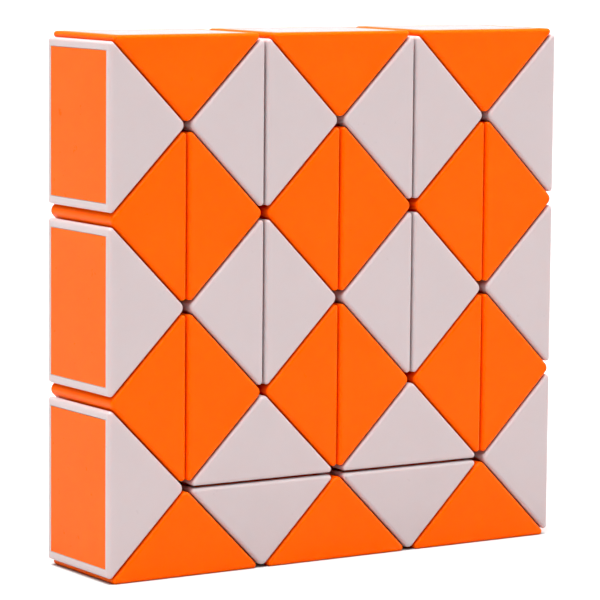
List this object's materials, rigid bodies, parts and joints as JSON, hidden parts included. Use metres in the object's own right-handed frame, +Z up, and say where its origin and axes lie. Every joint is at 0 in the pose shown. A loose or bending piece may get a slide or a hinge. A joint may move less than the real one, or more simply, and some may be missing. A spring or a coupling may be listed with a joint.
{
  "type": "twisty snake puzzle",
  "caption": "Chain of two-colour right-angled wedges linked by sprung swivels, shown folded into its flat square; twists into figures.",
  "frame": {"origin": "centre of the folded square on the surface it stands on, midway through its thickness", "axes": "+Z up, +X to the right along the square seen from its front, +Y to the back through its thickness"},
  "size_m": [0.076, 0.0176, 0.0761],
  "materials": {
    "white_abs": "moulded white ABS, semi-gloss",
    "orange_abs": "moulded orange ABS, semi-gloss",
    "plated_steel": "zinc-plated steel",
    "spring_steel": "drawn spring wire"
  },
  "bodies": {
    "wedge_01": {"wedge_01_shell": "white_abs", "wedge_01_cover": "orange_abs", "swivel_01_washer": "plated_steel", "swivel_01_spring": "spring_steel"},
    "wedge_02": {"wedge_02_shell": "orange_abs", "wedge_02_cover": "white_abs", "swivel_02_washer": "plated_steel", "swivel_02_spring": "spring_steel", "swivel_01_screw": "plated_steel"},
    "wedge_03": {"wedge_03_shell": "white_abs", "swivel_03_washer": "plated_steel", "swivel_03_spring": "spring_steel", "swivel_02_screw": "plated_steel"},
    "wedge_04": {"wedge_04_shell": "orange_abs", "swivel_04_washer": "plated_steel", "swivel_04_spring": "spring_steel", "swivel_03_screw": "plated_steel"},
    "wedge_05": {"wedge_05_shell": "white_abs", "swivel_04_screw": "plated_steel"},
    "wedge_06": {"wedge_06_shell": "orange_abs"},
    "wedge_07": {"wedge_07_shell": "white_abs"},
    "wedge_08": {"wedge_08_shell": "orange_abs"},
    "wedge_09": {"wedge_09_shell": "white_abs"},
    "wedge_10": {"wedge_10_shell": "orange_abs"},
    "wedge_11": {"wedge_11_shell": "white_abs"},
    "wedge_12": {"wedge_12_shell": "orange_abs", "wedge_12_cover": "white_abs"},
    "wedge_13": {"wedge_13_shell": "white_abs"},
    "wedge_14": {"wedge_14_shell": "orange_abs"},
    "wedge_15": {"wedge_15_shell": "white_abs"},
    "wedge_16": {"wedge_16_shell": "orange_abs"},
    "wedge_17": {"wedge_17_shell": "white_abs"},
    "wedge_18": {"wedge_18_shell": "orange_abs"},
    "wedge_19": {"wedge_19_shell": "white_abs"},
    "wedge_20": {"wedge_20_shell": "orange_abs"},
    "wedge_21": {"wedge_21_shell": "white_abs"},
    "wedge_22": {"wedge_22_shell": "orange_abs", "wedge_22_cover": "white_abs"},
    "wedge_23": {"wedge_23_shell": "white_abs", "wedge_23_cover": "orange_abs"},
    "wedge_24": {"wedge_24_shell": "orange_abs"},
    "wedge_25": {"wedge_25_shell": "white_abs", "wedge_25_cover": "orange_abs"},
    "wedge_26": {"wedge_26_shell": "orange_abs"},
    "wedge_27": {"wedge_27_shell": "white_abs", "wedge_27_cover": "orange_abs"},
    "wedge_28": {"wedge_28_shell": "orange_abs", "wedge_28_cover": "white_abs"},
    "wedge_29": {"wedge_29_shell": "white_abs"},
    "wedge_30": {"wedge_30_shell": "orange_abs", "wedge_30_cover": "white_abs"},
    "wedge_31": {"wedge_31_shell": "white_abs"},
    "wedge_32": {"wedge_32_shell": "orange_abs", "wedge_32_cover": "white_abs"},
    "wedge_33": {"wedge_33_shell": "white_abs", "wedge_33_cover": "orange_abs"},
    "wedge_34": {"wedge_34_shell": "orange_abs"},
    "wedge_35": {"wedge_35_shell": "white_abs", "wedge_35_cover": "orange_abs"},
    "wedge_36": {"wedge_36_shell": "orange_abs"}
  },
  "joints": [
    {"name": "swivel_01", "type": "hinge", "parent": "wedge_02", "child": "wedge_01", "pos_m": [-0.03182, 0, 0.06985], "axis": [-0.7071, 0, -0.7071], "continuous": true},
    {"name": "swivel_02", "type": "hinge", "parent": "wedge_03", "child": "wedge_02", "pos_m": [-0.01909, 0, 0.06985], "axis": [-0.7071, 0, 0.7071], "continuous": true},
    {"name": "swivel_03", "type": "hinge", "parent": "wedge_04", "child": "wedge_03", "pos_m": [-0.01909, 0, 0.05713], "axis": [0.7071, 0, 0.7071], "continuous": true},
    {"name": "swivel_04", "type": "hinge", "parent": "wedge_05", "child": "wedge_04", "pos_m": [-0.01909, 0, 0.0444], "axis": [-0.7071, 0, 0.7071], "continuous": true},
    {"name": "swivel_05", "type": "hinge", "parent": "wedge_06", "child": "wedge_05", "pos_m": [-0.01909, 0, 0.03167], "axis": [0.7071, 0, 0.7071], "continuous": true},
    {"name": "swivel_06", "type": "hinge", "parent": "wedge_07", "child": "wedge_06", "pos_m": [-0.01909, 0, 0.01894], "axis": [-0.7071, 0, 0.7071], "continuous": true},
    {"name": "swivel_07", "type": "hinge", "parent": "wedge_08", "child": "wedge_07", "pos_m": [-0.00636, 0, 0.01894], "axis": [-0.7071, 0, -0.7071], "continuous": true},
    {"name": "swivel_08", "type": "hinge", "parent": "wedge_09", "child": "wedge_08", "pos_m": [-0.00636, 0, 0.03167], "axis": [0.7071, 0, -0.7071], "continuous": true},
    {"name": "swivel_09", "type": "hinge", "parent": "wedge_10", "child": "wedge_09", "pos_m": [-0.00636, 0, 0.0444], "axis": [-0.7071, 0, -0.7071], "continuous": true},
    {"name": "swivel_10", "type": "hinge", "parent": "wedge_11", "child": "wedge_10", "pos_m": [-0.00636, 0, 0.05713], "axis": [0.7071, 0, -0.7071], "continuous": true},
    {"name": "swivel_11", "type": "hinge", "parent": "wedge_12", "child": "wedge_11", "pos_m": [-0.00636, 0, 0.06985], "axis": [-0.7071, 0, -0.7071], "continuous": true},
    {"name": "swivel_12", "type": "hinge", "parent": "wedge_13", "child": "wedge_12", "pos_m": [0.00636, 0, 0.06985], "axis": [-0.7071, 0, 0.7071], "continuous": true},
    {"name": "swivel_13", "type": "hinge", "parent": "wedge_14", "child": "wedge_13", "pos_m": [0.00636, 0, 0.05713], "axis": [0.7071, 0, 0.7071], "continuous": true},
    {"name": "swivel_14", "type": "hinge", "parent": "wedge_15", "child": "wedge_14", "pos_m": [0.00636, 0, 0.0444], "axis": [-0.7071, 0, 0.7071], "continuous": true},
    {"name": "swivel_15", "type": "hinge", "parent": "wedge_16", "child": "wedge_15", "pos_m": [0.00636, 0, 0.03167], "axis": [0.7071, 0, 0.7071], "continuous": true},
    {"name": "swivel_16", "type": "hinge", "parent": "wedge_17", "child": "wedge_16", "pos_m": [0.00636, 0, 0.01894], "axis": [-0.7071, 0, 0.7071], "continuous": true},
    {"name": "swivel_17", "type": "hinge", "parent": "wedge_18", "child": "wedge_17", "pos_m": [0.01909, 0, 0.01894], "axis": [-0.7071, 0, -0.7071], "continuous": true},
    {"name": "swivel_18", "type": "hinge", "parent": "wedge_18", "child": "wedge_19", "pos_m": [0.01909, 0, 0.03167], "axis": [-0.7071, 0, 0.7071], "continuous": true},
    {"name": "swivel_19", "type": "hinge", "parent": "wedge_19", "child": "wedge_20", "pos_m": [0.01909, 0, 0.0444], "axis": [0.7071, 0, 0.7071], "continuous": true},
    {"name": "swivel_20", "type": "hinge", "parent": "wedge_20", "child": "wedge_21", "pos_m": [0.01909, 0, 0.05713], "axis": [-0.7071, 0, 0.7071], "continuous": true},
    {"name": "swivel_21", "type": "hinge", "parent": "wedge_21", "child": "wedge_22", "pos_m": [0.01909, 0, 0.06985], "axis": [0.7071, 0, 0.7071], "continuous": true},
    {"name": "swivel_22", "type": "hinge", "parent": "wedge_22", "child": "wedge_23", "pos_m": [0.03182, 0, 0.06985], "axis": [0.7071, 0, -0.7071], "continuous": true},
    {"name": "swivel_23", "type": "hinge", "parent": "wedge_23", "child": "wedge_24", "pos_m": [0.03182, 0, 0.05713], "axis": [-0.7071, 0, -0.7071], "continuous": true},
    {"name": "swivel_24", "type": "hinge", "parent": "wedge_24", "child": "wedge_25", "pos_m": [0.03182, 0, 0.0444], "axis": [0.7071, 0, -0.7071], "continuous": true},
    {"name": "swivel_25", "type": "hinge", "parent": "wedge_25", "child": "wedge_26", "pos_m": [0.03182, 0, 0.03167], "axis": [-0.7071, 0, -0.7071], "continuous": true},
    {"name": "swivel_26", "type": "hinge", "parent": "wedge_26", "child": "wedge_27", "pos_m": [0.03182, 0, 0.01894], "axis": [0.7071, 0, -0.7071], "continuous": true},
    {"name": "swivel_27", "type": "hinge", "parent": "wedge_27", "child": "wedge_28", "pos_m": [0.03182, 0, 0.00621], "axis": [-0.7071, 0, -0.7071], "continuous": true},
    {"name": "swivel_28", "type": "hinge", "parent": "wedge_28", "child": "wedge_29", "pos_m": [0.01909, 0, 0.00621], "axis": [-0.7071, 0, 0.7071], "continuous": true},
    {"name": "swivel_29", "type": "hinge", "parent": "wedge_29", "child": "wedge_30", "pos_m": [0.00636, 0, 0.00621], "axis": [-0.7071, 0, -0.7071], "range_deg": [-75, 75]},
    {"name": "swivel_30", "type": "hinge", "parent": "wedge_30", "child": "wedge_31", "pos_m": [-0.00636, 0, 0.00621], "axis": [-0.7071, 0, 0.7071], "continuous": true},
    {"name": "swivel_31", "type": "hinge", "parent": "wedge_31", "child": "wedge_32", "pos_m": [-0.01909, 0, 0.00621], "axis": [-0.7071, 0, -0.7071], "continuous": true},
    {"name": "swivel_32", "type": "hinge", "parent": "wedge_32", "child": "wedge_33", "pos_m": [-0.03182, 0, 0.00621], "axis": [-0.7071, 0, 0.7071], "continuous": true},
    {"name": "swivel_33", "type": "hinge", "parent": "wedge_33", "child": "wedge_34", "pos_m": [-0.03182, 0, 0.01894], "axis": [0.7071, 0, 0.7071], "continuous": true},
    {"name": "swivel_34", "type": "hinge", "parent": "wedge_34", "child": "wedge_35", "pos_m": [-0.03182, 0, 0.03167], "axis": [-0.7071, 0, 0.7071], "continuous": true},
    {"name": "swivel_35", "type": "hinge", "parent": "wedge_35", "child": "wedge_36", "pos_m": [-0.03182, 0, 0.0444], "axis": [0.7071, 0, 0.7071], "continuous": true}
  ],
  "couplings": [
    {"joint": "swivel_01", "follows": "swivel_29", "ratio": 0.0816},
    {"joint": "swivel_03", "follows": "swivel_29", "ratio": -0.0197},
    {"joint": "swivel_04", "follows": "swivel_29", "ratio": 0.0641},
    {"joint": "swivel_05", "follows": "swivel_29", "ratio": 0.1028},
    {"joint": "swivel_06", "follows": "swivel_29", "ratio": -0.1991},
    {"joint": "swivel_07", "follows": "swivel_29", "ratio": 0.027},
    {"joint": "swivel_08", "follows": "swivel_29", "ratio": -0.1233},
    {"joint": "swivel_09", "follows": "swivel_29", "ratio": 0.1054},
    {"joint": "swivel_10", "follows": "swivel_29", "ratio": -0.061},
    {"joint": "swivel_11", "follows": "swivel_29", "ratio": 0.1405},
    {"joint": "swivel_12", "follows": "swivel_29", "ratio": 0.1598},
    {"joint": "swivel_13", "follows": "swivel_29", "ratio": -0.0804},
    {"joint": "swivel_14", "follows": "swivel_29", "ratio": 0.0104},
    {"joint": "swivel_15", "follows": "swivel_29", "ratio": -0.0282},
    {"joint": "swivel_16", "follows": "swivel_29", "ratio": 0.1026},
    {"joint": "swivel_17", "follows": "swivel_29", "ratio": 0.1558},
    {"joint": "swivel_18", "follows": "swivel_29", "ratio": -0.0814},
    {"joint": "swivel_19", "follows": "swivel_29", "ratio": 0.095},
    {"joint": "swivel_20", "follows": "swivel_29", "ratio": -0.165},
    {"joint": "swivel_21", "follows": "swivel_29", "ratio": 0.0329},
    {"joint": "swivel_22", "follows": "swivel_29", "ratio": -0.1751},
    {"joint": "swivel_23", "follows": "swivel_29", "ratio": 0.043},
    {"joint": "swivel_24", "follows": "swivel_29", "ratio": -0.0903},
    {"joint": "swivel_25", "follows": "swivel_29", "ratio": 0.1039},
    {"joint": "swivel_26", "follows": "swivel_29", "ratio": -0.2074},
    {"joint": "swivel_27", "follows": "swivel_29", "ratio": -0.1913},
    {"joint": "swivel_28", "follows": "swivel_29", "ratio": 0.1017},
    {"joint": "swivel_30", "follows": "swivel_29", "ratio": -0.1615},
    {"joint": "swivel_31", "follows": "swivel_29", "ratio": -0.096},
    {"joint": "swivel_32", "follows": "swivel_29", "ratio": 0.1483},
    {"joint": "swivel_33", "follows": "swivel_29", "ratio": 0.1376},
    {"joint": "swivel_34", "follows": "swivel_29", "ratio": 0.1085},
    {"joint": "swivel_35", "follows": "swivel_29", "ratio": 0.0584}
  ]
}
